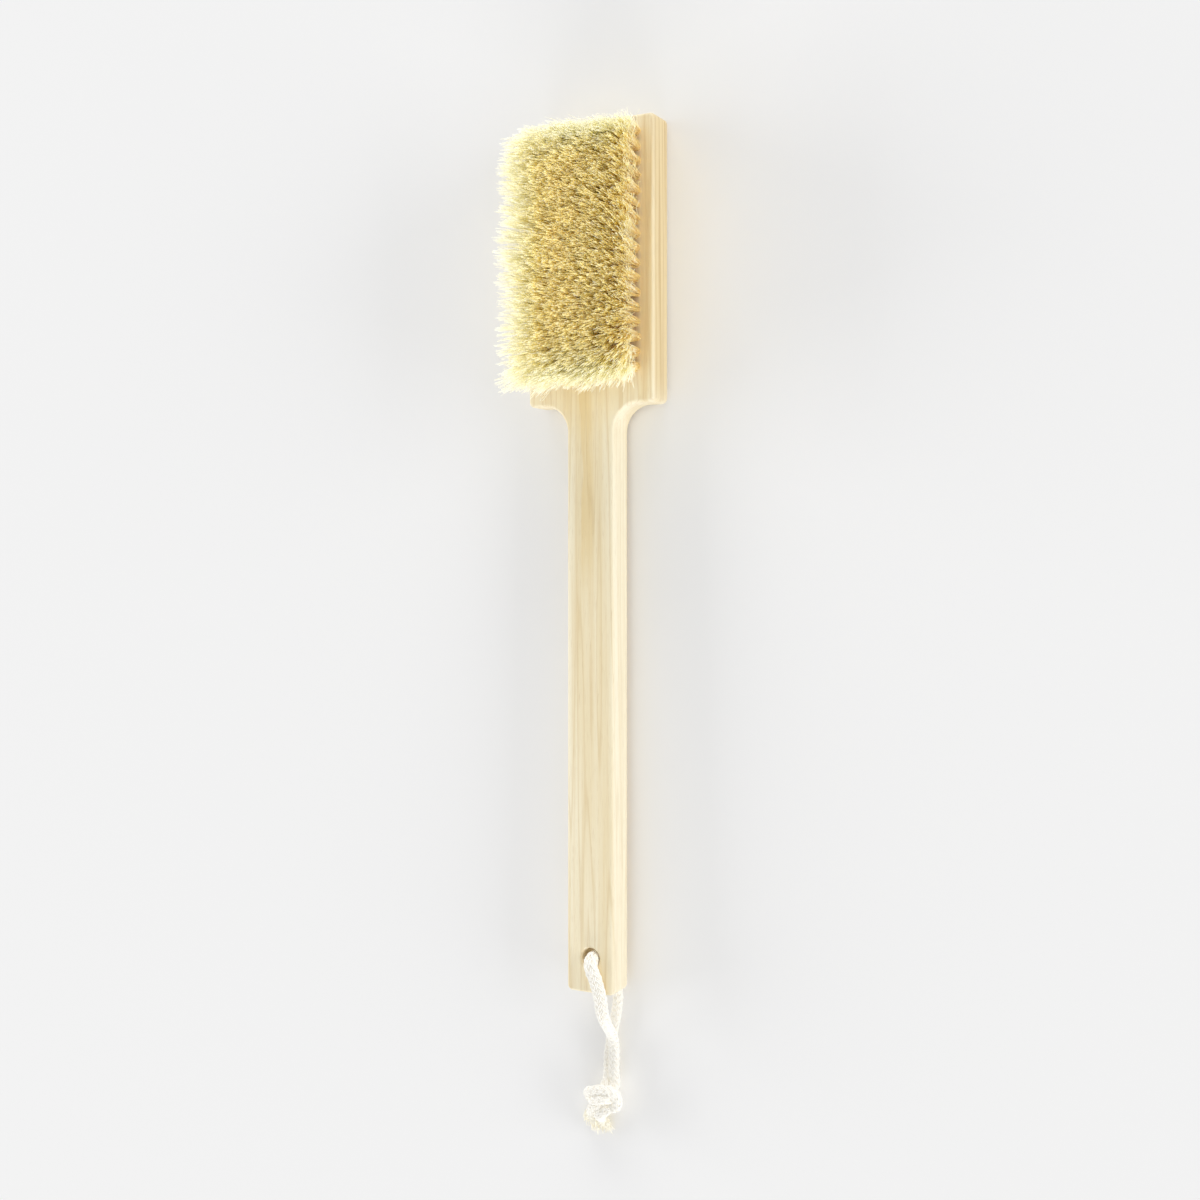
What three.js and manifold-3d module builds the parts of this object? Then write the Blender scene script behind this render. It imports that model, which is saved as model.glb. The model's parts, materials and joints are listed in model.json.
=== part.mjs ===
// A long-handled bath brush, lying on its back: a one-piece wooden board with a square head, natural
// fibre tufts set in the head, and a cotton cord tied through a hole in the handle.
// Millimetres, +Z up, +X across the board, +Y from the handle towards the head.
import * as THREE from "three";
import { mergeVertices } from "three/addons/utils/BufferGeometryUtils.js";
import Module from "manifold-3d";

const wasm = await Module();
wasm.setup();

// Driving dimensions of the board
const boardLength = 400;
const boardThickness = 15;
const headLength = 130;
const headWidth = 65;
const handleWidth = 24;
const shoulderRadius = 12.5;
const cornerRadius = 2.5;
const edgeRadius = 1.5;

// Driving dimensions of the hole for the cord
const holeDiameter = 9;
const holeFromEnd = 16;

// Driving dimensions of the bristle field
const tuftRows = 17;
const tuftColumns = 8;
const sideMargin = 9;
const tipMargin = 8;
const heelMargin = 16.4;
const bristleHeight = 30;
const splayAcross = 4.5;
const splayAlong = 7.5;
const leanToHandle = 4.5;
const trimVariation = 1.6;
const strandsPerTuft = 3;
const strandRootDiameter = 1.5;
const strandTipDiameter = 0.9;
const tuftRootRadius = 1.25;
const tuftTipRadius = 2.3;
const sliceThickness = 2;
const sliceCount = 4;

// Driving dimensions of the cord
const cordDiameter = 5;
const cordSides = 10;
const knotPairSpacing = 4.4;

// Clearance between pieces that touch on the real brush
const fitGap = 0.3;

// Facets on the round stretches
const cornerSegments = 2;
const shoulderSegments = 12;
const edgeSegments = 1;
const holeSides = 28;
const elbowSteps = 6;

// Places that follow from the driving dimensions. The board's own frame has its origin in the middle
// of the handle's end, on the back face.
const headStart = boardLength - headLength;
const holeRadius = holeDiameter / 2;
const cordRadius = cordDiameter / 2;
const rowPitch = (headLength - tipMargin - heelMargin) / (tuftRows - 1);
const columnPitch = (headWidth - 2 * sideMargin) / (tuftColumns - 1);
const fieldWidth = tuftColumns * columnPitch;
const fieldLength = tuftRows * rowPitch;
const fieldCentreY = (boardLength - tipMargin + headStart + heelMargin) / 2;

// The cord bends round the rim of the hole and then lies flat along each face of the handle.
const elbowRadius = edgeRadius + fitGap + cordRadius;
const elbowEndY = holeFromEnd - holeRadius - edgeRadius;
const cordInHoleY = elbowEndY + elbowRadius;
const cordOverFace = boardThickness + fitGap + cordRadius;

// The stretch of cord under the handle props the handle's end up off the table.
const propAngle = Math.atan((cordDiameter + fitGap) / (boardLength - elbowEndY));

const woodFinish = new THREE.MeshStandardMaterial({ color: 0xe9d7ae, roughness: 0.62, metalness: 0 });
const fibreFinish = new THREE.MeshStandardMaterial({ color: 0xe8d79c, roughness: 0.7, metalness: 0 });
const cottonFinish = new THREE.MeshStandardMaterial({ color: 0xf5efe0, roughness: 0.9, metalness: 0 });

// A closed geometry as a solid that can be joined and cut
function solidOf(geometry) {
  const bare = geometry.clone();
  bare.deleteAttribute("normal");
  bare.deleteAttribute("uv");
  const merged = mergeVertices(bare);
  const mesh = new wasm.Mesh({
    numProp: 3,
    vertProperties: merged.attributes.position.array,
    triVerts: new Uint32Array(merged.index.array),
  });
  return new wasm.Manifold(mesh);
}

function geometryOf(solid) {
  const mesh = solid.getMesh();
  const geometry = new THREE.BufferGeometry();
  geometry.setAttribute("position", new THREE.BufferAttribute(mesh.vertProperties, mesh.numProp));
  geometry.setIndex(new THREE.BufferAttribute(mesh.triVerts, 1));
  geometry.computeVertexNormals();
  return geometry;
}

function piece(name, geometry, finish) {
  const mesh = new THREE.Mesh(geometry, finish);
  mesh.name = name;
  return mesh;
}

function polygon(radius, sides) {
  const points = [];
  for (let i = 0; i < sides; i += 1) {
    const angle = (2 * Math.PI * i) / sides;
    points.push(new THREE.Vector2(radius * Math.cos(angle), radius * Math.sin(angle)));
  }
  return points;
}

// The board

// Points on an arc, with the angles in quarter turns from +X
function arcPoints(x, y, radius, from, to, segments) {
  const points = [];
  for (let i = 0; i <= segments; i += 1) {
    const angle = (Math.PI / 2) * (from + ((to - from) * i) / segments);
    points.push(new THREE.Vector2(x + radius * Math.cos(angle), y + radius * Math.sin(angle)));
  }
  return points;
}

// The right half of the outline runs up from the handle's end to the top of the head, and the left half
// is its mirror image coming back down.
function boardOutline() {
  const handle = handleWidth / 2;
  const head = headWidth / 2;
  const corner = cornerRadius;
  const top = boardLength - corner;
  const shoulder = { x: handle + shoulderRadius, y: headStart - shoulderRadius };
  const right = [
    ...arcPoints(handle - corner, corner, corner, -1, 0, cornerSegments),
    ...arcPoints(shoulder.x, shoulder.y, shoulderRadius, 2, 1, shoulderSegments),
    ...arcPoints(head - corner, headStart + corner, corner, -1, 0, cornerSegments),
    ...arcPoints(head - corner, top, corner, 0, 1, cornerSegments),
  ];
  const left = right.map((p) => new THREE.Vector2(-p.x, p.y)).reverse();
  return new THREE.Shape([...right, ...left]);
}

// The hole's rim is rounded over on both faces, by the same rounding as the board's edges.
function boardGeometry() {
  const outline = boardOutline();
  const hole = polygon(holeRadius, holeSides).map((p) => p.add(new THREE.Vector2(0, holeFromEnd)));
  outline.holes.push(new THREE.Path(hole));
  const board = new THREE.ExtrudeGeometry(outline, {
    depth: boardThickness - 2 * edgeRadius,
    bevelEnabled: true,
    bevelThickness: edgeRadius,
    bevelSize: edgeRadius,
    bevelOffset: -edgeRadius,
    bevelSegments: edgeSegments,
  });
  board.translate(0, 0, edgeRadius);
  const seatDepth = sliceThickness + fitGap;
  const seat = new THREE.BoxGeometry(fieldWidth + fitGap, fieldLength + 2 * fitGap, 2 * seatDepth);
  seat.translate(0, fieldCentreY, boardThickness);
  return geometryOf(solidOf(board).subtract(solidOf(seat)));
}

// The bristles

function tuftCentre(row, column) {
  const x = (column - (tuftColumns - 1) / 2) * columnPitch;
  const y = fieldCentreY + (row - (tuftRows - 1) / 2) * rowPitch;
  return new THREE.Vector3(x, y, boardThickness);
}

// The tips spread wider than the roots on every side, and lean a little towards the handle.
function tuftTip(root) {
  const x = root.x + (splayAcross * root.x) / (fieldWidth / 2);
  const y = root.y + (splayAlong * (root.y - fieldCentreY)) / (fieldLength / 2) - leanToHandle;
  return new THREE.Vector3(x, y, root.z + bristleHeight);
}

// Every strand of a tuft starts on a small circle and ends on a wider one, so no two strands cross.
function strandGeometry(row, column, strand) {
  const root = tuftCentre(row, column);
  const tip = tuftTip(root);
  const tuftTurn = row * 2.4 + column * 1.7;
  const angle = tuftTurn + (2 * Math.PI * strand) / strandsPerTuft;
  const around = new THREE.Vector3(Math.cos(angle), Math.sin(angle), 0);
  root.addScaledVector(around, tuftRootRadius);
  tip.addScaledVector(around, tuftTipRadius);
  tip.z -= trimVariation * (0.5 + 0.5 * Math.sin(5 * angle + row + 3 * column));
  const along = new THREE.Vector3().subVectors(tip, root);
  const direction = along.clone().normalize();
  root.addScaledVector(direction, -sliceThickness / 2);
  along.subVectors(tip, root);
  const taper = new THREE.CylinderGeometry(strandTipDiameter / 2, strandRootDiameter / 2, along.length(), 3);
  taper.translate(0, along.length() / 2, 0);
  taper.applyQuaternion(new THREE.Quaternion().setFromUnitVectors(new THREE.Vector3(0, 1, 0), direction));
  return taper.translate(root.x, root.y, root.z);
}

// A lengthwise slice of the head's face with the tufts of its columns standing in it
function bristleSlice(slice) {
  const columnsEach = tuftColumns / sliceCount;
  const sliceWidth = fieldWidth / sliceCount;
  const middleX = (slice - (sliceCount - 1) / 2) * sliceWidth;
  const backing = new THREE.BoxGeometry(sliceWidth - fitGap, fieldLength, sliceThickness);
  backing.translate(middleX, fieldCentreY, boardThickness - sliceThickness / 2);
  let solid = solidOf(backing);
  for (let row = 0; row < tuftRows; row += 1) {
    for (let column = 0; column < columnsEach; column += 1) {
      for (let strand = 0; strand < strandsPerTuft; strand += 1) {
        const taper = strandGeometry(row, slice * columnsEach + column, strand);
        solid = solid.add(solidOf(taper));
      }
    }
  }
  return piece(`bristle_slice_${slice + 1}`, geometryOf(solid), fibreFinish);
}

// The cord

// The table's height in the board's frame, which leans by the prop angle
function tableUnder(y) {
  return -(boardLength - y) * Math.tan(propAngle);
}

// The section's flats, and not its corners, lie at the cord's radius.
function tubeAlong(points, sides, steps, diameter) {
  const route = new THREE.CatmullRomCurve3(points, false, "centripetal");
  const section = new THREE.Shape(polygon(diameter / 2 / Math.cos(Math.PI / sides), sides));
  return new THREE.ExtrudeGeometry(section, { steps, bevelEnabled: false, extrudePath: route });
}

// A quarter bend round the rim on one face of the board; face is 1 in front and -1 behind.
function elbowPoints(face) {
  const middle = boardThickness / 2;
  const rimZ = middle + face * (middle - edgeRadius);
  const points = [];
  for (let i = 0; i <= elbowSteps; i += 1) {
    const angle = (Math.PI / 2) * (i / elbowSteps);
    const y = elbowEndY + elbowRadius * Math.cos(angle);
    const z = rimZ + face * elbowRadius * Math.sin(angle);
    points.push(new THREE.Vector3(0, y, z));
  }
  return points;
}

function cordThroughHole() {
  const middle = new THREE.Vector3(0, cordInHoleY, boardThickness / 2);
  const route = [...elbowPoints(-1).reverse(), middle, ...elbowPoints(1)];
  return piece("cord_through_hole", tubeAlong(route, cordSides, 26, cordDiameter), cottonFinish);
}

// The front leg runs over the face and the end of the handle, and comes down to lie on the rear leg.
// Each point is the distance across, the distance along from the handle's end, and the share of the
// height from its bed on the rear leg up to the face.
const frontLegRoute = [
  [0, elbowEndY - fitGap, 1],
  [0, 8, 1],
  [0.6, 5, 1],
  [1.7, 1.5, 1],
  [2.9, -2, 1],
  [4, -5.2, 0.99],
  [4.9, -8.5, 0.93],
  [5.2, -12.5, 0.76],
  [5.1, -16.5, 0.5],
  [4.6, -20.5, 0.25],
  [3.9, -25, 0.08],
  [3.2, -30, 0.01],
  [2.7, -35, 0],
  [2.6, -38, 0],
  [2.6, -40, 0],
];
const frontLegBed = 3.4;

function frontLegPoints() {
  return frontLegRoute.map(([x, y, share]) => {
    const bed = tableUnder(y) + cordRadius + frontLegBed;
    return new THREE.Vector3(x, y, bed + share * (cordOverFace - bed));
  });
}

// The rear leg lies on the table, under the handle and past its end.
const rearLegRoute = [
  [0, elbowEndY - fitGap],
  [0, 8],
  [0.5, 5],
  [1.4, 1.5],
  [2.1, -2.5],
  [2.3, -7],
  [1.8, -12.5],
  [0.9, -18],
  [-0.1, -24],
  [-1, -30],
  [-1.6, -35],
  [-1.7, -38],
  [-1.7, -40],
];

function rearLegPoints() {
  return rearLegRoute.map(([x, y]) => new THREE.Vector3(x, y, tableUnder(y) + cordRadius));
}

// Both legs are tied together in one overhand knot. The points are the middle of the pair, across, along
// and up from the knot's centre: down between the turns, round to the right, over the front to the
// left, under the back, out through the turn, and away as two tails.
const knotCentre = { x: -2.5, y: -52.5, overTable: 8.4 };
const knotRoute = [
  [2.2, 6.2, -2.4],
  [1.4, 2.4, -0.6],
  [1, -2, -0.2],
  [2.4, -5.4, 0],
  [5.2, -4.6, 1.2],
  [6.2, -0.8, 3],
  [4.4, 2.8, 4.8],
  [0.5, 3, 5.4],
  [-3.6, 1.2, 4.2],
  [-5.8, -1.4, 0],
  [-3.8, -2.2, -4.2],
  [0.3, -0.5, -5.3],
  [3.2, -1, -3],
  [3.2, -3.8, 2.4],
  [1, -7, 3.6],
  [-1.5, -10.4, 0.8],
  [-3.1, -14, -3.4],
  [-4, -17.6, -5.3],
];

// One cord of the pair carries on from the end of its leg and keeps to its own side of the middle.
function knotStrand(middles, side, legEnd) {
  const route = new THREE.CatmullRomCurve3(middles, false, "centripetal");
  const up = new THREE.Vector3(0, 0, 1);
  const count = 3 * middles.length;
  const start = legEnd.clone().add(new THREE.Vector3(0, -fitGap, 0));
  const points = [start, start.clone().add(new THREE.Vector3(0, -fitGap, 0))];
  for (let i = 0; i <= count; i += 1) {
    const across = new THREE.Vector3().crossVectors(up, route.getTangentAt(i / count)).normalize();
    points.push(route.getPointAt(i / count).addScaledVector(across, (side * knotPairSpacing) / 2));
  }
  return solidOf(tubeAlong(points, cordSides, 50, cordDiameter));
}

function cordKnot() {
  const bottom = tableUnder(knotCentre.y);
  const middles = knotRoute.map(
    ([x, y, z]) =>
      new THREE.Vector3(knotCentre.x + x, knotCentre.y + y, bottom + knotCentre.overTable + z),
  );
  const front = knotStrand(middles, 1, frontLegPoints().at(-1));
  const rear = knotStrand(middles, -1, rearLegPoints().at(-1));
  return piece("cord_knot", geometryOf(front.add(rear)), cottonFinish);
}

// The whole brush, set down on the table with its box centred over the origin

const brush = new THREE.Group();
brush.add(piece("brush_board", boardGeometry(), woodFinish));
for (let slice = 0; slice < sliceCount; slice += 1) {
  brush.add(bristleSlice(slice));
}

const hangingLoop = new THREE.Group();
hangingLoop.add(cordThroughHole());
hangingLoop.add(piece("cord_front_leg", tubeAlong(frontLegPoints(), cordSides, 28, cordDiameter), cottonFinish));
hangingLoop.add(piece("cord_rear_leg", tubeAlong(rearLegPoints(), cordSides, 24, cordDiameter), cottonFinish));
hangingLoop.add(cordKnot());
brush.add(hangingLoop);

const lengthOnTable = boardLength * Math.cos(propAngle) + boardThickness * Math.sin(propAngle);
brush.rotation.x = -propAngle;
brush.position.set(0, -lengthOnTable / 2, boardLength * Math.sin(propAngle));

const bathBrush = new THREE.Group();
bathBrush.add(brush);

export default bathBrush;
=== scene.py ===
# A long-handled bath brush lying on its back: a pale wooden board, plant fibre tufts in its square head,
# and a braided cotton cord knotted through the hole in its handle.
import json
import math
import random

import bmesh
import bpy
import numpy as np
from mathutils import Matrix, Vector


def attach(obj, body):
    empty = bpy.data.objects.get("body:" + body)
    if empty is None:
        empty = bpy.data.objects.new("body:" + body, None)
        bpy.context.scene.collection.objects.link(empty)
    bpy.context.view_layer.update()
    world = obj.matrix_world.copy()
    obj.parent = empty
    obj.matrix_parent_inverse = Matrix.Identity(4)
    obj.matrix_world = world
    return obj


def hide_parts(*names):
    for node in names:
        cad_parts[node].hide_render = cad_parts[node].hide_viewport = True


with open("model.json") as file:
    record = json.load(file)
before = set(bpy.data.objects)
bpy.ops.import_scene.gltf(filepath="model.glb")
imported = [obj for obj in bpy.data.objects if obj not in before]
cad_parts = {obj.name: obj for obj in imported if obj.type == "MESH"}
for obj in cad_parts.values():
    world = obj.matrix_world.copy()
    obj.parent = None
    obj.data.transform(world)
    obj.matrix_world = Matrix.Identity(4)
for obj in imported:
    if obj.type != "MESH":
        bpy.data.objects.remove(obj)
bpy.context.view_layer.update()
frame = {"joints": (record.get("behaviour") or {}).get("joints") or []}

# The board
# Head and handle are one plank of pale ash, sawn to its outline with rounded inner shoulders, drilled
# for the cord and sanded round along every edge. The wood is left bare.
mm = 0.001
board_length = 400 * mm
board_thickness = 15 * mm
head_length = 130 * mm
head_width = 65 * mm
handle_width = 24 * mm
shoulder_radius = 12.5 * mm
corner_radius = 2.5 * mm
edge_radius = 1.5 * mm
hole_radius = 4.5 * mm
hole_from_end = 16 * mm
head_start = board_length - head_length
half_hole_steps = 24
shoulder_steps = 18
corner_steps = 6
edge_steps = 6
same_place = 0.001 * mm
sharp_angle = math.radians(60)
flat_face_weight = 80

# The board's own frame starts in the middle of the handle's end, on the back face. Its up axis is the
# axis of the hole, about which the cord swings.
swing = frame["joints"][0]
board_up = Vector(swing["axis"])
board_across = Vector((1, 0, 0))
board_along = board_up.cross(board_across)
on_table = Matrix((board_across, board_along, board_up)).transposed().to_4x4()
hole_start = Vector(swing["pos_m"]) - board_thickness / 2 * board_up
on_table.translation = hole_start - hole_from_end * board_along


def half_board_face(shape):
    """The right half of the board's outline, with half of the hole cut out of its straight side."""
    corner_places = [
        (0, 0),
        (handle_width / 2, 0),
        (handle_width / 2, head_start),
        (head_width / 2, head_start),
        (head_width / 2, board_length),
        (0, board_length),
        (0, hole_from_end + hole_radius),
    ]
    corners = [shape.verts.new((x, y, 0)) for x, y in corner_places]
    for first, second in zip(corners, corners[1:]):
        shape.edges.new((first, second))
    arc = bmesh.ops.spin(
        shape,
        geom=[corners[-1]],
        cent=(0, hole_from_end, 0),
        axis=(0, 0, 1),
        angle=-math.pi,
        steps=half_hole_steps,
    )
    arc_end = next(part for part in arc["geom_last"] if isinstance(part, bmesh.types.BMVert))
    shape.edges.new((arc_end, corners[0]))
    bmesh.ops.contextual_create(shape, geom=shape.edges[:])
    inner_shoulder = corners[2]
    outer_corners = [corners[1], corners[3], corners[4]]
    roundings = [
        (outer_corners, corner_radius, corner_steps),
        ([inner_shoulder], shoulder_radius, shoulder_steps),
    ]
    for verts, radius, steps in roundings:
        bmesh.ops.bevel(
            shape, geom=verts, affect="VERTICES", offset=radius, segments=steps, profile=0.5, material=-1
        )


def board_shape():
    """Half of the board raised to its thickness, mirrored to a whole one, with its edges rounded."""
    shape = bmesh.new()
    half_board_face(shape)
    raised = bmesh.ops.extrude_face_region(shape, geom=shape.faces[:])
    raised_verts = [part for part in raised["geom"] if isinstance(part, bmesh.types.BMVert)]
    bmesh.ops.translate(shape, vec=(0, 0, board_thickness), verts=raised_verts)
    middle = [face for face in shape.faces if all(abs(v.co.x) < same_place for v in face.verts)]
    bmesh.ops.delete(shape, geom=middle, context="FACES_ONLY")
    whole = shape.verts[:] + shape.edges[:] + shape.faces[:]
    bmesh.ops.mirror(shape, geom=whole, axis="X", merge_dist=same_place)
    bmesh.ops.recalc_face_normals(shape, faces=shape.faces[:])
    sharp_edges = [edge for edge in shape.edges if edge.calc_face_angle(0) > sharp_angle]
    bmesh.ops.bevel(
        shape,
        geom=sharp_edges,
        affect="EDGES",
        offset=edge_radius,
        segments=edge_steps,
        profile=0.5,
        material=-1,
    )
    return shape


def piece_of(name, mesh):
    """A finished mesh, made in the board's frame, set down on the table as an object."""
    mesh.transform(on_table)
    mesh.shade_smooth()
    piece = bpy.data.objects.new(name, mesh)
    bpy.context.scene.collection.objects.link(piece)
    return piece


board_mesh = bpy.data.meshes.new("wooden_board")
sawn_board = board_shape()
sawn_board.to_mesh(board_mesh)
sawn_board.free()
board = piece_of("wooden_board", board_mesh)
even_shading = board.modifiers.new("flat faces stay flat", "WEIGHTED_NORMAL")
even_shading.weight = flat_face_weight


class Wire:
    """An output of a material's nodes. Arithmetic on it adds Math nodes to the same material."""

    def __init__(self, tree, socket=None):
        self.tree = tree
        self.socket = socket

    def add(self, kind, settings=None, inputs=None, output=0):
        """Adds a node: its settings come first, then the values or links of its sockets."""
        node = self.tree.nodes.new(kind)
        for key, value in (settings or {}).items():
            setattr(node, key, value)
        for key, value in (inputs or {}).items():
            if isinstance(value, Wire):
                self.tree.links.new(value.socket, node.inputs[key])
            else:
                node.inputs[key].default_value = value
        return Wire(self.tree, node.outputs[output] if node.outputs else None)

    def other(self, output):
        """Another output of the same node."""
        return Wire(self.tree, self.socket.node.outputs[output])

    def math(self, operation, first, second=0.0):
        """A Math node on one or two values."""
        return self.add("ShaderNodeMath", {"operation": operation}, {0: first, 1: second})

    def __add__(self, other):
        return self.math("ADD", self, other)

    def __radd__(self, other):
        return self.math("ADD", other, self)

    def __sub__(self, other):
        return self.math("SUBTRACT", self, other)

    def __rsub__(self, other):
        return self.math("SUBTRACT", other, self)

    def __mul__(self, other):
        return self.math("MULTIPLY", self, other)

    def __rmul__(self, other):
        return self.math("MULTIPLY", other, self)

    def between(self, low, high):
        """0 up to low, 1 from high on, and a smooth step between them."""
        settings = {"interpolation_type": "SMOOTHSTEP"}
        return self.add("ShaderNodeMapRange", settings, {"Value": self, "From Min": low, "From Max": high})

    def mix(self, first, second):
        """The first colour where this is 0 and the second where it is 1. A Mix node has sockets of the same
        name for every kind of data, so its colour sockets go by number."""
        return self.add("ShaderNodeMix", {"data_type": "RGBA"}, {0: self, 6: first, 7: second}, output=2)


def colour(red, green, blue):
    """A colour as a paint chart gives it, 0 to 255, in the linear values that shaders take."""
    shares = [value / 255 for value in (red, green, blue)]
    return (*[s / 12.92 if s <= 0.04045 else ((s + 0.055) / 1.055) ** 2.4 for s in shares], 1)


def new_finish(name):
    """An empty material, and a wire to build its nodes from."""
    material = bpy.data.materials.new(name)
    material.use_nodes = True
    material.node_tree.nodes.clear()
    return material, Wire(material.node_tree)


def close_finish(wire, inputs):
    """Ends a material in one plain surface with these inputs."""
    surface = wire.add("ShaderNodeBsdfPrincipled", inputs=inputs)
    wire.add("ShaderNodeOutputMaterial", inputs={"Surface": surface})


def stretched_noise(wire, place, grain, detail=2.0):
    """Noise drawn out along the brush: grain is its cycles per metre across and along."""
    across, along = grain
    scale = (across, along, across)
    spread = wire.add("ShaderNodeVectorMath", {"operation": "MULTIPLY"}, {0: place, 1: scale})
    return wire.add("ShaderNodeTexNoise", inputs={"Vector": spread, "Scale": 1.0, "Detail": detail})


broad_grain = (120, 3)
growth_grain = (130, 3)
streak_grain = (460, 6)
fine_grain = (2600, 30)
pore_grain = (3800, 130)
sway_grain = (60, 22)
growth_rings = 7

cream = colour(245, 235, 206)
tan = colour(232, 214, 171)
heart_gold = colour(230, 206, 151)
growth_brown = colour(214, 188, 138)
streak_tan = colour(226, 204, 158)
fine_pale = colour(249, 241, 220)
side_light_pale = colour(241, 235, 215)
head_side_tan = colour(224, 203, 156)
head_side_brown = colour(198, 169, 116)
pore_brown = colour(196, 162, 112)

# How much of each colour is laid over the ones before it
tan_share = 0.75
tongue_share = 0.8
neck_share = 0.25
growth_share = 0.4
streak_share = 0.4
fine_share = 0.3
side_light_share = 0.35
head_side_share = 0.85
pore_share = 0.22

# Where the heartwood and the brown side of the head begin and end, from the middle of the brush
tongue_along = (-30 * mm, 15 * mm)
tongue_left = (-5 * mm, -3.6 * mm)
tongue_right = (-0.5 * mm, 5 * mm)
tongue_sway = 6 * mm
neck_along = (56 * mm, 78 * mm)
neck_sway = 30 * mm
neck_slant = 0.6
head_side_along = (55 * mm, 85 * mm)
head_side_across = (30.5 * mm, 32.2 * mm)

grain_depth = 0.12 * mm
grain_strength = 0.35
growth_depth_share = 0.4


def pale_ash():
    """Soft streaks, thin growth lines and pores, all along the grain. A tongue of golden heartwood runs out
    of the head down the handle, the sides have painted light that makes them paler than the faces, and the
    head's side is brown."""
    material, wire = new_finish("pale_ash")
    place = wire.add("ShaderNodeTexCoord", output="Object")
    across = wire.add("ShaderNodeSeparateXYZ", inputs={0: place})
    along = across.other("Y")
    facing = wire.add("ShaderNodeSeparateXYZ", inputs={0: place.other("Normal")}, output="Z")
    side_face = 1 - wire.math("ABSOLUTE", facing)

    broad_streak = stretched_noise(wire, place, broad_grain).between(0.40, 0.66)
    streak = stretched_noise(wire, place, streak_grain, detail=3.0)
    fine_streak = stretched_noise(wire, place, fine_grain)
    growth = stretched_noise(wire, place, growth_grain, detail=1.0) * growth_rings
    growth_line = 1 - wire.math("ABSOLUTE", wire.math("FRACT", growth) - 0.5).between(0.0, 0.2)
    pore = stretched_noise(wire, place, pore_grain, detail=1.0).between(0.60, 0.72)

    sway = stretched_noise(wire, place, sway_grain) - 0.5
    swayed = across + sway * tongue_sway
    tongue_width = swayed.between(*tongue_left) * (1 - swayed.between(*tongue_right))
    tongue = along.between(*tongue_along) * tongue_width
    neck = (along - across * neck_slant + sway * neck_sway).between(*neck_along)
    heart = wire.math("MAXIMUM", neck * neck_share, tongue * tongue_share)
    head_side = along.between(*head_side_along) * across.between(*head_side_across) * side_face
    head_side_colour = streak.between(0.4, 0.7).mix(head_side_tan, head_side_brown)

    wood = (broad_streak * tan_share).mix(cream, tan)
    wood = heart.mix(wood, heart_gold)
    wood = (growth_line * growth_share).mix(wood, growth_brown)
    wood = (streak.between(0.45, 0.7) * streak_share).mix(wood, streak_tan)
    wood = (fine_streak.between(0.5, 0.8) * fine_share).mix(wood, fine_pale)
    # Painted light: every side face is painted paler than the faces, as if lit more from the sides.
    wood = (side_face * side_light_share).mix(wood, side_light_pale)
    wood = (head_side * head_side_share).mix(wood, head_side_colour)
    wood = (pore * pore_share).mix(wood, pore_brown)

    height = fine_streak - pore - growth_line * growth_depth_share
    grain_inputs = {"Strength": grain_strength, "Distance": grain_depth, "Height": height}
    relief = wire.add("ShaderNodeBump", inputs=grain_inputs)
    roughness = 0.52 + 0.12 * streak + 0.1 * pore
    close_finish(wire, {"Base Color": wood, "Roughness": roughness, "Normal": relief})
    return material


board.data.materials.append(pale_ash())
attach(board, "brush")
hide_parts("brush_board")

# The tufts
# Stiff cream plant fibre, 310 fibres to a tuft in the middle and fewer at the sides. Each tuft is folded in
# half and stapled into a blind hole. The tips are trimmed level, and the outer tufts are splayed by use.
tuft_rows = 17
tuft_columns = 8
slices = 4
side_margin = 9 * mm
tip_margin = 8 * mm
heel_margin = 16.4 * mm
bristle_height = 30 * mm
row_pitch = (head_length - tip_margin - heel_margin) / (tuft_rows - 1)
column_pitch = (head_width - 2 * side_margin) / (tuft_columns - 1)
field_middle_y = (board_length - tip_margin + head_start + heel_margin) / 2
field_half_width = tuft_columns * column_pitch / 2
field_half_length = tuft_rows * row_pitch / 2
draw = random.Random(41)


def strand_mesh(name, strands, sides):
    """Closed round strands in one mesh. Each strand is (points, radii, tones, reaches), and its tones and
    reaches are kept on the mesh for the finish to read. It narrows to a point just past each end."""
    section = bpy.data.curves.new(name + "_section", "CURVE")
    ring = section.splines.new("POLY")
    ring.points.add(sides - 1)
    ring.use_cyclic_u = True
    for number, point in enumerate(ring.points):
        turn = 2 * math.pi * number / sides
        point.co = (math.cos(turn), math.sin(turn), 0, 1)
    section_holder = bpy.data.objects.new(section.name, section)
    curve = bpy.data.curves.new(name + "_lines", "CURVE")
    curve.dimensions = "3D"
    curve.bevel_mode = "OBJECT"
    curve.bevel_object = section_holder
    for points, radii, _, _ in strands:
        first = points[0] + (points[0] - points[1]) * (radii[0] / np.linalg.norm(points[0] - points[1]))
        last = points[-1] + (points[-1] - points[-2]) * (radii[-1] / np.linalg.norm(points[-1] - points[-2]))
        places = np.vstack([first, points, last])
        spline = curve.splines.new("POLY")
        spline.points.add(len(places) - 1)
        spline.points.foreach_set("co", np.column_stack([places, np.ones(len(places))]).ravel())
        spline.points.foreach_set("radius", np.concatenate([[0], radii, [0]]))
    holder = bpy.data.objects.new(curve.name, curve)
    for extra in (section_holder, holder):
        bpy.context.scene.collection.objects.link(extra)
    graph = bpy.context.evaluated_depsgraph_get()
    tubes = bpy.data.meshes.new_from_object(holder.evaluated_get(graph))
    for extra in (holder, section_holder):
        bpy.data.objects.remove(extra)
    for key, column in (("tone", 2), ("reach", 3)):
        values = [np.repeat(np.pad(strand[column], 1, "edge"), sides) for strand in strands]
        tubes.attributes.new(key, "FLOAT", "POINT").data.foreach_set("value", np.concatenate(values))
    shape = bmesh.new()
    shape.from_mesh(tubes)
    bmesh.ops.remove_doubles(shape, verts=shape.verts[:], dist=same_place)
    bmesh.ops.recalc_face_normals(shape, faces=shape.faces[:])
    mesh = bpy.data.meshes.new(name)
    shape.to_mesh(mesh)
    shape.free()
    bpy.data.meshes.remove(tubes)
    return mesh


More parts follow.
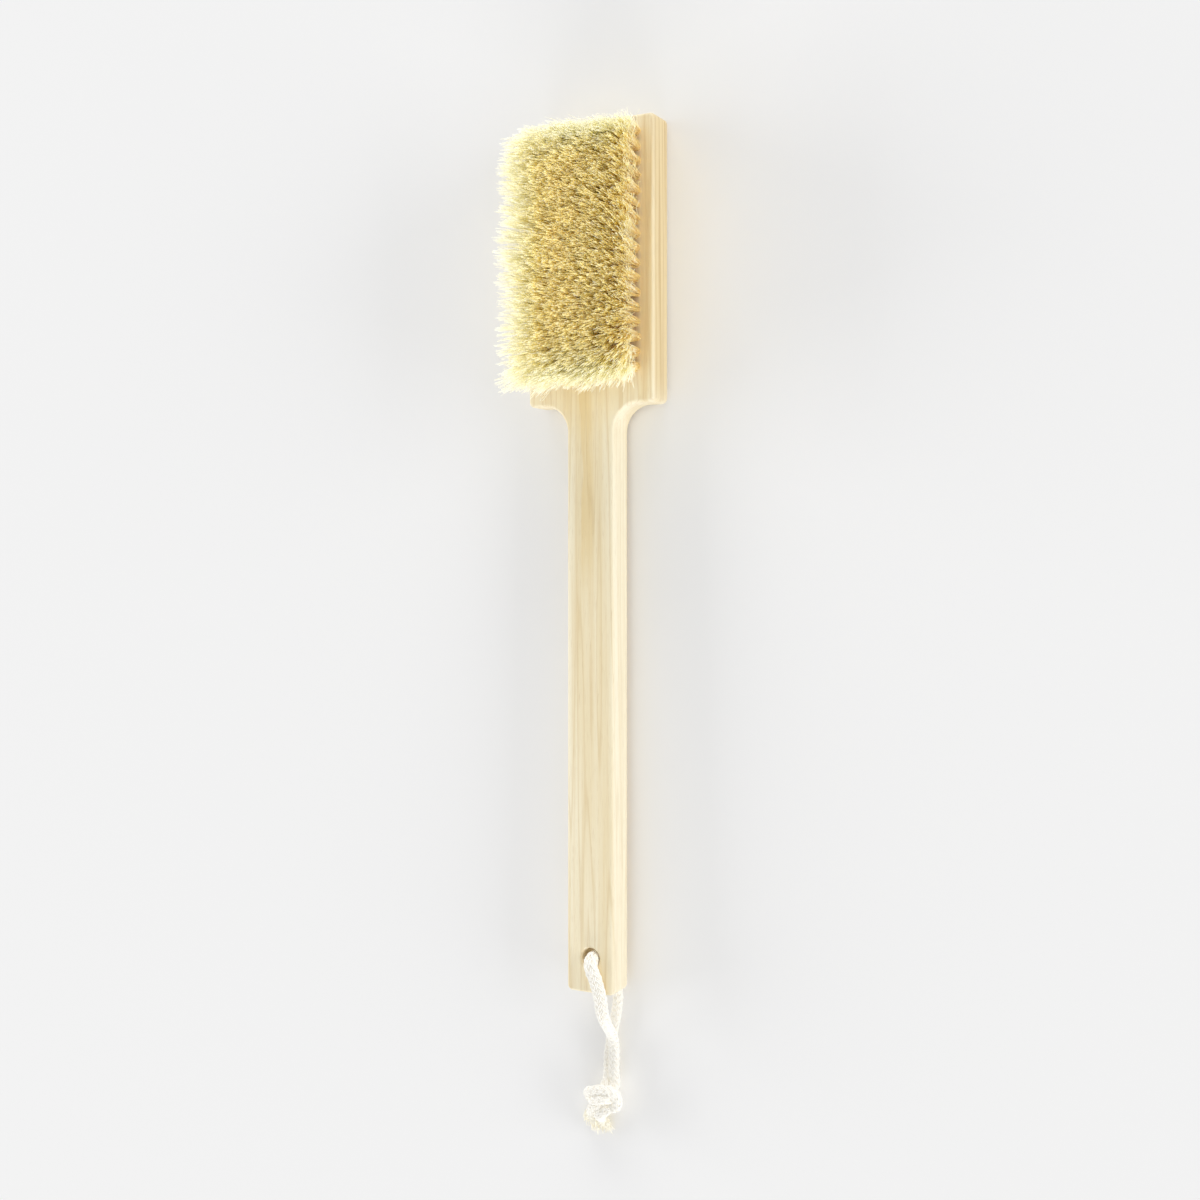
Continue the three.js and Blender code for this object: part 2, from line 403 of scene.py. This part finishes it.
def in_disc(radius):
    """A random place in a disc, as an offset across and along."""
    out = radius * math.sqrt(draw.random())
    turn = draw.uniform(0, 2 * math.pi)
    return np.array((out * math.cos(turn), out * math.sin(turn), 0))


def scatter(*spreads):
    """A random offset, given how far it spreads across, along and, if it does, up."""
    offsets = [draw.gauss(0, spread) for spread in spreads]
    return np.array(offsets + [0] * (3 - len(offsets)))


# All tips lean towards the handle, those at the far end the most. Towards the sides and the handle they
# are splayed outwards, and those at the far left corner are drawn in.
splay_left = 6.2 * mm
splay_right = 7 * mm
splay_to_handle = 7.5 * mm
side_splay_power = 0.8
heel_splay_power = 2.5
lean_to_handle = 2.8 * mm
near_lean_share = 0.45
far_corner_start = (0.45, 0.55)
far_corner_pull = np.array((9, -22, 0)) * mm


def splay(across, along):
    """How far the tips are spread at this place in the field, where each rim is at 1 or -1."""
    side_splay = splay_right if across > 0 else splay_left
    sideways = side_splay * across * abs(across) ** side_splay_power
    lean = lean_to_handle * (near_lean_share + (1 - near_lean_share) * max(0, along))
    to_handle = splay_to_handle * max(0, -along) ** heel_splay_power + lean
    far_corner = max(0, -across - far_corner_start[0]) * max(0, along - far_corner_start[1])
    return np.array((sideways, -to_handle, 0)) + far_corner * far_corner_pull


# A rim starts at a share of the way out to the field's edge and grows by a slope from there to a full 1.
# At the rims the tufts are thinner and more ragged, and painted paler as painted rim light.
left_rim = (0.25, 2)
right_rim = (0.05, 1.3)
end_rim = (0.62, 3.3)
thinned_left = 0.6
thinned_right = 0.45
ragged_right = 0.7
rim_light_right = 0.55


def rim_share(outward, rim):
    """0 inside this rim of the field, and up to 1 out on it."""
    start, slope = rim
    return min(1, max(0, slope * (outward - start)))


locks_per_tuft = 155
fibres_per_lock = 2
fibre_sides = 3
tuft_root_radius = 2.5 * mm
tuft_tip_radius = 4.3 * mm
lock_root_radius = 0.7 * mm
tuft_stray = (0.5 * mm, 0.6 * mm, 0.4 * mm)
tip_drop = 2.4 * mm
ragged_drop = 2.4 * mm
lock_bend = (0.5 * mm, 0.5 * mm)
splay_bend = 0.25
fibre_stray = (0.3 * mm, 0.3 * mm, 0.6 * mm)
fibre_bend = (0.35 * mm, 0.35 * mm)
loose_share = 0.05
loose_out = (0.5 * mm, 3.5 * mm)
loose_around = 2.4 * mm
loose_drop = 2.5 * mm

# Points along a fibre as shares of its height, the first of them in the wood, and how far each is bowed
fibre_shares = np.array((-0.05, 0.6, 1.0))
fibre_bow = 4 * fibre_shares * (1 - fibre_shares)
fibre_reaches = np.clip(fibre_shares, 0, 1)
fibre_radii = np.array((0.12, 0.125, 0.09)) * mm
fibre_sizes = (0.8, 1.2)

# A plain fibre's tone runs from 0, golden, to the palest one, which the rims are pushed towards as painted
# rim light. A brown fibre has a tone of its own.
lock_tone_share = 0.55
palest_tone = 0.95
painted_rim_lighting = 0.85
brown_tone = 1.0
brown_share = 0.0008


def tuft_fibres(row, column):
    """The fibres of one tuft, in small locks whose tips cling together."""
    x = (column - (tuft_columns - 1) / 2) * column_pitch
    y = (row - (tuft_rows - 1) / 2) * row_pitch
    root = np.array((x, field_middle_y + y, board_thickness))
    outward = np.array((x / field_half_width, y / field_half_length, 0))
    stray = scatter(*tuft_stray)
    left = rim_share(-outward[0], left_rim)
    right = rim_share(outward[0], right_rim)
    end = rim_share(abs(outward[1]), end_rim)
    ragged = max(left, end, ragged_right * right)
    paleness_and_rim_light = max(left, end, rim_light_right * right)
    fibres = []
    for _ in range(round(locks_per_tuft * (1 - thinned_left * left - thinned_right * right))):
        place = in_disc(1.0)
        spread = splay(outward[0] + place[0] / tuft_columns, outward[1] + place[1] / tuft_rows)
        drop = abs(draw.gauss(0, tip_drop + ragged_drop * ragged))
        lock_tip = root + stray + place * tuft_tip_radius + spread + (0, 0, bristle_height - drop)
        lock_tone = draw.random()
        bend = scatter(*lock_bend) - splay_bend * spread
        for _ in range(fibres_per_lock):
            start = root + place * (tuft_root_radius - lock_root_radius) + in_disc(lock_root_radius)
            tip = lock_tip + scatter(*fibre_stray)
            if draw.random() < loose_share:
                tip = tip + outward * draw.uniform(*loose_out) + in_disc(loose_around)
                tip = tip - (0, 0, draw.uniform(0, loose_drop))
            bow = bend + scatter(*fibre_bend)
            path = start + np.outer(fibre_shares, tip - start) + np.outer(fibre_bow, bow)
            tone = palest_tone * (lock_tone_share * lock_tone + (1 - lock_tone_share) * draw.random())
            # Painted rim light: out on the rims a fibre's tone is pushed towards the palest.
            tone = tone + paleness_and_rim_light * painted_rim_lighting * (palest_tone - tone)
            if draw.random() < brown_share:
                tone = brown_tone
            radii = fibre_radii * draw.uniform(*fibre_sizes)
            fibres.append((path, radii, np.full(len(path), tone), fibre_reaches))
    return fibres


map_margin = 0.01
map_size = 0.97
map_step = 0.001


def lay_out_for_baking(mesh):
    """A map of the fibres that takes each one's tone sideways and its reach upwards. The corners of a face
    are set a step apart sideways."""
    corners = np.zeros(len(mesh.loops), np.int32)
    mesh.loops.foreach_get("vertex_index", corners)
    sides = []
    for key in ("tone", "reach"):
        values = np.zeros(len(mesh.vertices), np.float32)
        mesh.attributes[key].data.foreach_get("value", values)
        sides.append(map_margin + map_size * values[corners])
    sides[0] += map_step * (np.arange(len(corners)) % 3)
    mesh.uv_layers.new(name="OFBake").data.foreach_set("uv", np.column_stack(sides).ravel())


root_shade_colour = colour(248, 233, 178)
shaft_colour = colour(253, 246, 206)
tip_light_colour = colour(255, 253, 238)
golden_colour = colour(254, 243, 190)
pale_and_rim_light_colour = colour(255, 254, 244)
brown_colour = colour(110, 76, 38)
golden_glow_colour = colour(255, 250, 213)
pale_and_rim_light_glow_colour = colour(255, 254, 246)
golden_share = 0.8
glow_share = 0.5


def plant_fibre():
    """Golden at the root with painted shade and pale at the tip with painted light, every fibre a little
    different and a few of them brown. Out on the rims the fibres are paler still with painted rim light.
    Light goes part of the way through."""
    material, wire = new_finish("plant_fibre")
    tone = wire.add("ShaderNodeAttribute", {"attribute_name": "tone"}, output="Fac")
    reach = wire.add("ShaderNodeAttribute", {"attribute_name": "reach"}, output="Fac")
    # Pale fibres are pale along their upper part. Out on the rims this paleness is painted rim light.
    paleness_and_rim_light = tone.between(0.6, 0.84) * reach.between(0.05, 0.65)

    # Painted shade darkens each fibre towards its root, deep in the tuft, and painted light pales its tip.
    fibre = reach.between(0.2, 0.85).mix(root_shade_colour, shaft_colour)
    fibre = reach.between(0.75, 1.0).mix(fibre, tip_light_colour)
    fibre = ((1 - tone.between(0.0, 0.45)) * golden_share).mix(fibre, golden_colour)
    fibre = paleness_and_rim_light.mix(fibre, pale_and_rim_light_colour)
    fibre = tone.between(0.97, 0.98).mix(fibre, brown_colour)

    matt = {"Base Color": fibre, "Roughness": 0.6, "Specular IOR Level": 0.0}
    surface = wire.add("ShaderNodeBsdfPrincipled", inputs=matt)
    golden_glow = wire.add("ShaderNodeBsdfTranslucent", inputs={"Color": golden_glow_colour})
    # Pale fibres let whiter light through, and on the rims this is part of the painted rim light.
    pale_and_rim_light_glow = wire.add("ShaderNodeBsdfTranslucent", inputs={"Color": pale_and_rim_light_glow_colour})
    glow = wire.add("ShaderNodeMixShader", inputs={0: paleness_and_rim_light, 1: golden_glow, 2: pale_and_rim_light_glow})
    both = wire.add("ShaderNodeMixShader", inputs={0: glow_share, 1: surface, 2: glow})
    wire.add("ShaderNodeOutputMaterial", inputs={"Surface": both})
    return material


fibre_finish = plant_fibre()
for number in range(slices):
    columns = range(number * tuft_columns // slices, (number + 1) * tuft_columns // slices)
    fibres = [f for column in columns for row in range(tuft_rows) for f in tuft_fibres(row, column)]
    tufts = piece_of(f"tufts_{number + 1}", strand_mesh(f"tufts_{number + 1}", fibres, fibre_sides))
    tufts.data.shade_flat()
    lay_out_for_baking(tufts.data)
    tufts.data.materials.append(fibre_finish)
    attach(tufts, "brush")
    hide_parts(f"bristle_slice_{number + 1}")

# The cord
# Undyed cotton, braided from sixteen double yarns about a soft core. One length goes through the hole,
# pulled flat where it bends over the rim; one leg lies over the face, the other under the back.
cord_diameter = 5 * mm
fit_gap = 0.3 * mm
cord_radius = cord_diameter / 2
cord_off_middle = 0.9 * mm
front_slant = 2.2 * mm
elbow_radius = edge_radius + fit_gap + cord_radius
elbow_end_y = hole_from_end - hole_radius - edge_radius
elbow_point_count = 7
cord_over_face = board_thickness + fit_gap + cord_radius
table_slope = (cord_diameter + fit_gap) / (board_length - elbow_end_y)


def table_under(y):
    """The table's height in the board's frame, which leans."""
    return -(board_length - y) * table_slope


def elbow_points(face):
    """A quarter bend round the hole's rim, in front where face is 1 and behind where it is -1."""
    rim_z = board_thickness / 2 + face * (board_thickness / 2 - edge_radius)
    points = []
    for angle in np.linspace(0, math.pi / 2, elbow_point_count):
        y = elbow_end_y + elbow_radius * math.cos(angle)
        x = cord_off_middle + max(0, face) * front_slant * (1 - math.cos(angle))
        points.append((x, y, rim_z + face * elbow_radius * math.sin(angle)))
    return points


# Millimetres across and along from the handle's end, and the share of the height from the bed on the rear
# leg up to the face
front_leg_route = [
    (3.4, 9.5, 1),
    (4.1, 8, 1),
    (5.1, 5, 1),
    (6.2, 1.5, 1),
    (7.0, -2, 1),
    (7.4, -5.2, 0.99),
    (7.5, -8.5, 0.93),
    (7.1, -12.5, 0.76),
    (6.3, -16.5, 0.5),
    (5.7, -20.5, 0.25),
    (5.2, -25, 0.08),
    (4.9, -30, 0.01),
    (4.7, -35, 0),
    (4.6, -38, 0),
    (4.6, -40, 0),
]
front_leg_bed = 3.4 * mm

# Millimetres across and along from the handle's end, all of it lying on the table
rear_leg_route = [
    (1.2, 9.7),
    (1.5, 8),
    (2.9, 5),
    (4.2, 1.5),
    (5.1, -2.5),
    (5.2, -7),
    (4.5, -12.5),
    (3.3, -18),
    (2, -24),
    (1, -30),
    (0.4, -35),
    (0.3, -38),
    (0.3, -40),
]
front_leg = []
for x, y, share in front_leg_route:
    bed = table_under(y * mm) + cord_radius + front_leg_bed
    front_leg.append((x * mm, y * mm, bed + share * (cord_over_face - bed)))
rear_leg = [(x * mm, y * mm, table_under(y * mm) + cord_radius) for x, y in rear_leg_route]

curve_steps = 24


def step_lengths(line):
    """The distance from each point of a line to the next."""
    return np.linalg.norm(np.diff(line, axis=0), axis=1)


def run_along(steps):
    """How far along each point of a line is, from the steps between them."""
    return np.concatenate([[0], np.cumsum(steps)])


def on_the_way(now, start, end, first, last):
    """What lies between first, at the start, and last, at the end."""
    return ((end - now) * first + (now - start) * last) / (end - start)


def smooth_line(points, step):
    """Even points along the centripetal Catmull-Rom curve through these."""
    points = np.array(points, float)
    before = 2 * points[0] - points[1]
    after = 2 * points[-1] - points[-2]
    guides = np.vstack([before, points, after])
    times = run_along(step_lengths(guides) ** 0.5)
    fine = []
    for here in range(1, len(guides) - 2):
        now = np.linspace(times[here], times[here + 1], curve_steps, endpoint=False)[:, None]
        straight = [
            on_the_way(now, times[n], times[n + 1], guides[n], guides[n + 1])
            for n in (here - 1, here, here + 1)
        ]
        curved = [
            on_the_way(now, times[here - 1 + n], times[here + 1 + n], straight[n], straight[n + 1])
            for n in (0, 1)
        ]
        fine.append(on_the_way(now, times[here], times[here + 1], *curved))
    fine = np.vstack([*fine, points[-1:]])
    run = run_along(step_lengths(fine))
    even = np.linspace(0, run[-1], max(2, round(run[-1] / step)) + 1)
    return np.column_stack([np.interp(even, run, fine[:, axis]) for axis in range(3)])


# Both legs are tied together in one overhand knot. The points are the middle of the pair, in millimetres
# across, along and up from the knot's centre.
knot_centre = (0.6, -50.6)
knot_over_table = 8.4 * mm
knot_pair_spacing = 4 * mm
knot_step = 1.4 * mm
tail_start = 0.8
tail_spread = 1.45
knot_route = [
    (2.6, 5.6, -2.4),
    (1.8, 2.6, -0.6),
    (1.4, -0.6, -0.2),
    (2.6, -2.8, 0),
    (5.4, -2.4, 1.2),
    (6.4, 0, 3),
    (4.6, 2.2, 4.8),
    (0.5, 2, 5.4),
    (-3.8, 0.4, 4.2),
    (-6, -1, 0),
    (-4, -1.4, -4.2),
    (0.3, -0.3, -5.3),
    (3, -1.4, -2.8),
    (2, -3.6, 1.2),
    (-1, -6, 2.2),
    (-4.2, -8.8, 0),
    (-5.8, -11.8, -3.6),
    (-6.4, -15.2, -5.4),
]
knot_z = table_under(knot_centre[1] * mm) + knot_over_table
knot_middles = [
    ((knot_centre[0] + x) * mm, (knot_centre[1] + y) * mm, knot_z + z * mm) for x, y, z in knot_route
]


def knot_strand(side):
    """One cord of the pair through the knot, on its own side of the middle. The tails spread apart."""
    line = smooth_line(knot_middles, knot_step)
    apart = np.interp(np.linspace(0, 1, len(line)), (0, tail_start, 1), (1, 1, tail_spread))[:, None]
    headings = np.gradient(line, axis=0)
    sideways = np.cross((0, 0, 1), headings)
    sideways /= np.linalg.norm(sideways, axis=1)[:, None]
    return (line + side * apart * knot_pair_spacing / 2 * sideways).tolist()


yarn_step = 0.45 * mm
hole_middle = (cord_off_middle, elbow_end_y + elbow_radius, board_thickness / 2)
front_widening = 0.24
rear_widening = -0.06


class CordHalf:
    """One half of the cord, from the middle of the hole to the end of its tail, with a frame carried
    along it that doesn't twist. Near the board it is wider, or narrower, by its widening."""

    def __init__(self, face, leg, side, widening):
        self.face = face
        self.widening = widening
        past_elbow = [hole_middle, *elbow_points(face), *leg]
        self.line = smooth_line(past_elbow + knot_strand(side), yarn_step)
        self.run = run_along(step_lengths(self.line))
        leg_length = step_lengths(smooth_line(past_elbow, yarn_step)).sum()
        self.leg_end = int(np.searchsorted(self.run, leg_length))
        headings = np.gradient(self.line, axis=0)
        self.headings = headings / np.linalg.norm(headings, axis=1)[:, None]
        carried = np.array((1.0, 0, 0))
        across = []
        for heading in self.headings:
            carried = carried - heading * carried.dot(heading)
            carried = carried / np.linalg.norm(carried)
            across.append(carried)
        self.across = np.array(across)
        self.outward = np.cross(self.headings, self.across)


front_half = CordHalf(1, front_leg, 1, front_widening)
rear_half = CordHalf(-1, rear_leg, -1, rear_widening)

yarns_each_way = 8
yarn_sides = 6
braid_pitch = 24 * mm
braid_radius = 1.85 * mm
braid_wave = 0.4 * mm
ply_radius = 0.41 * mm
ply_angle = 0.185
core_radius = 1.5 * mm
widened_until = (24 * mm, 44 * mm)
lying_height = 0.9

# Where the cord fills the hole it swells and lifts. Its width and height there are shares of the round
# braid's, and its core and plies gain a share of their own size.
bulge_ends = {1: (7 * mm, 17 * mm), -1: (2 * mm, 7 * mm)}
bulge_lift = 1.4 * mm
bulge_width = 1.27
bulge_height = 1.36
bulge_core = 0.3
bulge_ply = 0.25

# At its cut end it opens out flat, and its core thins away.
fray_length = 9 * mm
fray_width = 0.8
fray_height = 0.15
fray_core = 0.7

yarn_tone = 0.55
over_under_shading = 0.35
tone_scatter = 0.1


def smooth_step(values, low, high):
    """0 up to low, 1 from high on, and a smooth step between them."""
    share = np.clip((values - low) / (high - low), 0, 1)
    return share * share * (3 - 2 * share)


def braid_strands(half, first, last):
    """The yarns of a stretch of the cord, two plies each, passing over two and under two."""
    run = half.run[first:last]
    across = half.across[first:last]
    outward = half.outward[first:last]
    bulge = 1 - smooth_step(run, *bulge_ends[half.face])
    widened = 1 - smooth_step(run, *widened_until)
    fray = np.clip(1 - (half.run[-1] - run) / fray_length, 0, 1)
    width = (1 + half.widening * widened) * (1 - bulge) + bulge_width * bulge + fray_width * fray**2
    height = lying_height * (1 - bulge) + bulge_height * bulge - fray_height * fray
    line = half.line[first:last] + (half.face * bulge_lift * bulge)[:, None] * outward
    core = core_radius * (1 + bulge_core * bulge - fray_core * fray)
    plies = ply_radius * (1 + bulge_ply * bulge)
    strands = [(line, core, np.zeros(len(line)), fray)]
    crossings = 2 * yarns_each_way * run / braid_pitch
    for direction in (1, -1):
        for yarn in range(yarns_each_way):
            over = direction * np.cos(math.pi / 2 * (2 * yarn + direction * crossings - 0.5))
            out = braid_radius + braid_wave * over
            for ply in (-1, 1):
                turn = 2 * math.pi * (yarn / yarns_each_way + direction * run / braid_pitch) + ply * ply_angle
                sideways = (out * width * np.cos(turn))[:, None] * across
                upwards = (out * height * np.sin(turn))[:, None] * outward
                # Painted shade on a yarn where it passes under another and painted light where it lies on
                # top, with a random tone of its own.
                tones = yarn_tone + over_under_shading * over + draw.uniform(-tone_scatter, tone_scatter)
                strands.append((line + sideways + upwards, plies, tones, fray))
    return strands


fuzz_grain = (2400, 2400)
fuzz_depth = 0.15 * mm
fuzz_strength = 0.6
under_shade_colour = colour(240, 231, 209)
over_light_colour = colour(255, 254, 250)
fuzz_colour = colour(245, 239, 224)
frayed_colour = colour(253, 249, 230)
frayed_share = 0.6


def braided_cotton():
    """Soft off-white yarn with painted shade where it passes under another and painted light where it
    lies on top, and yellower where the ends are frayed.
    """
    material, wire = new_finish("braided_cotton")
    place = wire.add("ShaderNodeTexCoord", output="Object")
    tone = wire.add("ShaderNodeAttribute", {"attribute_name": "tone"}, output="Fac")
    fray = wire.add("ShaderNodeAttribute", {"attribute_name": "reach"}, output="Fac")
    fuzz = stretched_noise(wire, place, fuzz_grain, detail=3.0)
    # Painted shade and painted light of the braid's crossings, from the yarns' tones.
    cotton = tone.between(0.05, 0.8).mix(under_shade_colour, over_light_colour)
    cotton = (0.5 + fuzz.between(0.35, 0.7) * 0.5).mix(fuzz_colour, cotton)
    cotton = (fray * frayed_share).mix(cotton, frayed_colour)
    fuzz_inputs = {"Strength": fuzz_strength, "Distance": fuzz_depth, "Height": fuzz}
    relief = wire.add("ShaderNodeBump", inputs=fuzz_inputs)
    close_finish(wire, {"Base Color": cotton, "Roughness": 0.9, "Normal": relief, "Sheen Weight": 0.25})
    return material


cotton_finish = braided_cotton()


def cotton_piece(name, strands, *nodes):
    """A piece of the cord that stands in for these nodes and swings with the rest of it."""
    cotton = piece_of(name, strand_mesh(name, strands, yarn_sides))
    cotton.data.materials.append(cotton_finish)
    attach(cotton, "hanging_cord")
    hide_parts(*nodes)
    return cotton


front_strands = braid_strands(front_half, 0, front_half.leg_end + 1)
rear_strands = braid_strands(rear_half, 0, rear_half.leg_end + 1)
front_cord = cotton_piece("front_cord", front_strands, "cord_through_hole", "cord_front_leg")
rear_cord = cotton_piece("rear_cord", rear_strands, "cord_rear_leg")

# The knot
# Both legs tied together in one overhand knot and cut off just past it, so the ends of the yarns have
# come loose into two short frayed tails.
threads_per_tail = 150
thread_shares = np.array((0, 0.35, 0.7, 1))
thread_radii = np.array((0.17, 0.17, 0.14, 0.08)) * mm
thread_sizes = (0.8, 1.3)
thread_lengths = (3 * mm, 6 * mm)
thread_curl = (0.5 * mm, 0.5 * mm, 0.5 * mm)
thread_splay = 90
cut_end_points = 12
tail_half_width = 4.4 * mm
tail_half_height = 1.9 * mm


def loose_threads(half):
    """Single cotton threads that stand out of the cut end of a tail, with their lines kept off the table."""
    threads = []
    for _ in range(threads_per_tail):
        place = len(half.line) - 1 - draw.randrange(cut_end_points)
        turn = draw.uniform(0, 2 * math.pi)
        out = math.sqrt(draw.random())
        sideways = tail_half_width * out * math.cos(turn) * half.across[place]
        upwards = tail_half_height * out * math.sin(turn) * half.outward[place]
        start = half.line[place] + sideways + upwards
        heading = half.headings[place] + (sideways + upwards) * draw.uniform(0, thread_splay)
        curl = scatter(*thread_curl)
        path = start + np.outer(thread_shares * draw.uniform(*thread_lengths), heading)
        path = path + np.outer(thread_shares**2, curl)
        path[:, 2] = np.maximum(path[:, 2], table_under(path[:, 1]) + thread_radii.max())
        radii = thread_radii * draw.uniform(*thread_sizes)
        threads.append((path, radii, np.full(len(path), draw.random()), np.ones(len(path))))
    return threads


knot_strands = []
for half in (front_half, rear_half):
    knot_strands += braid_strands(half, half.leg_end, len(half.line))
    knot_strands += loose_threads(half)
knot = cotton_piece("knot_and_tails", knot_strands, "cord_knot")

for piece, half, face in ((front_cord, front_half, 1), (rear_cord, rear_half, -1)):
    on_table @ Vector(elbow_points(face)[-1])

# The floor, the light and the camera
# A pale grey studio floor that runs out into the backdrop, with wide low softboxes on every side of the
# brush and an even sky above.
backdrop_grey = colour(242, 242, 242)
floor_size = 3.0
floor_fade = (0.45, 1.2)
floor_shape = bmesh.new()
bmesh.ops.create_grid(floor_shape, x_segments=1, y_segments=1, size=floor_size / 2)
floor_mesh = bpy.data.meshes.new("studio_floor")
floor_shape.to_mesh(floor_mesh)
floor_shape.free()
floor = bpy.data.objects.new("studio_floor", floor_mesh)
bpy.context.scene.collection.objects.link(floor)


def pictured(wire):
    """1 where the picture shows this, also in gloss or glass, and 0 where it only lights something else."""
    seen = wire.add("ShaderNodeLightPath", output="Is Camera Ray")
    shown = wire.math("MAXIMUM", seen, seen.other("Is Glossy Ray"))
    return wire.math("MAXIMUM", shown, seen.other("Is Transmission Ray"))


def studio_grey():
    """Plain matt grey under the brush. Further out it is pictured as bright as the backdrop."""
    material, wire = new_finish("studio_grey")
    place = wire.add("ShaderNodeTexCoord", output="Object")
    out = wire.add("ShaderNodeVectorMath", {"operation": "LENGTH"}, {0: place}, output="Value")
    matt = wire.add("ShaderNodeBsdfDiffuse", inputs={"Color": backdrop_grey})
    backdrop = wire.add("ShaderNodeEmission", inputs={"Color": backdrop_grey, "Strength": 1.0})
    far = out.between(*floor_fade) * pictured(wire)
    surface = wire.add("ShaderNodeMixShader", inputs={0: far, 1: matt, 2: backdrop})
    wire.add("ShaderNodeOutputMaterial", inputs={"Surface": surface})
    return material


floor.data.materials.append(studio_grey())

sky_light = 0.6
world = bpy.data.worlds.new("studio_sky")
world.use_nodes = True
world.node_tree.nodes.clear()
sky = Wire(world.node_tree)
lit = sky.add("ShaderNodeBackground", inputs={"Color": (1, 1, 1, 1), "Strength": sky_light})
backdrop = sky.add("ShaderNodeBackground", inputs={"Color": backdrop_grey, "Strength": 1.0})
both = sky.add("ShaderNodeMixShader", inputs={0: pictured(sky), 1: lit, 2: backdrop})
sky.add("ShaderNodeOutputWorld", inputs={"Surface": both})
bpy.context.scene.world = world

softbox_turns = (0, 90, 180, 270)
softbox_distance = 3.9
softbox_height = 1.05
softbox_width = 3.3
softbox_tall = 1.5
softbox_power = 70
for number, turn in enumerate(softbox_turns):
    lamp = bpy.data.lights.new(f"softbox_{number + 1}", "AREA")
    lamp.shape = "RECTANGLE"
    lamp.size = softbox_width
    lamp.size_y = softbox_tall
    lamp.energy = softbox_power
    holder = bpy.data.objects.new(lamp.name, lamp)
    angle = math.radians(turn)
    holder.location = (softbox_distance * math.cos(angle), softbox_distance * math.sin(angle), softbox_height)
    holder.rotation_euler = (-holder.location).to_track_quat("-Z", "Y").to_euler()
    holder.visible_camera = False
    bpy.context.scene.collection.objects.link(holder)

# The camera hangs over the right side of the brush, half-way along, and is turned to look down at it. Its
# place is in the board's frame.
camera_place = Vector((317.0, 201.9, 608.6)) * mm
camera_turn = math.radians(27.71)
focal_length_in_mm = 44.02
film_width_in_mm = 36
film_shift = -0.0391
lens = bpy.data.cameras.new("photograph")
lens.lens = focal_length_in_mm
lens.sensor_width = film_width_in_mm
lens.shift_y = film_shift
camera = bpy.data.objects.new("photograph", lens)
camera.matrix_world = on_table @ Matrix.Translation(camera_place) @ Matrix.Rotation(camera_turn, 4, "Y")
bpy.context.scene.collection.objects.link(camera)
bpy.context.scene.camera = camera
bpy.context.scene.view_settings.view_transform = "Standard"

# Light is handed on many times between the pale fibres before it comes out of the tufts again.
light_bounces = 32
light_paths = bpy.context.scene.cycles
light_paths.max_bounces = light_bounces
light_paths.diffuse_bounces = light_bounces
light_paths.transmission_bounces = light_bounces
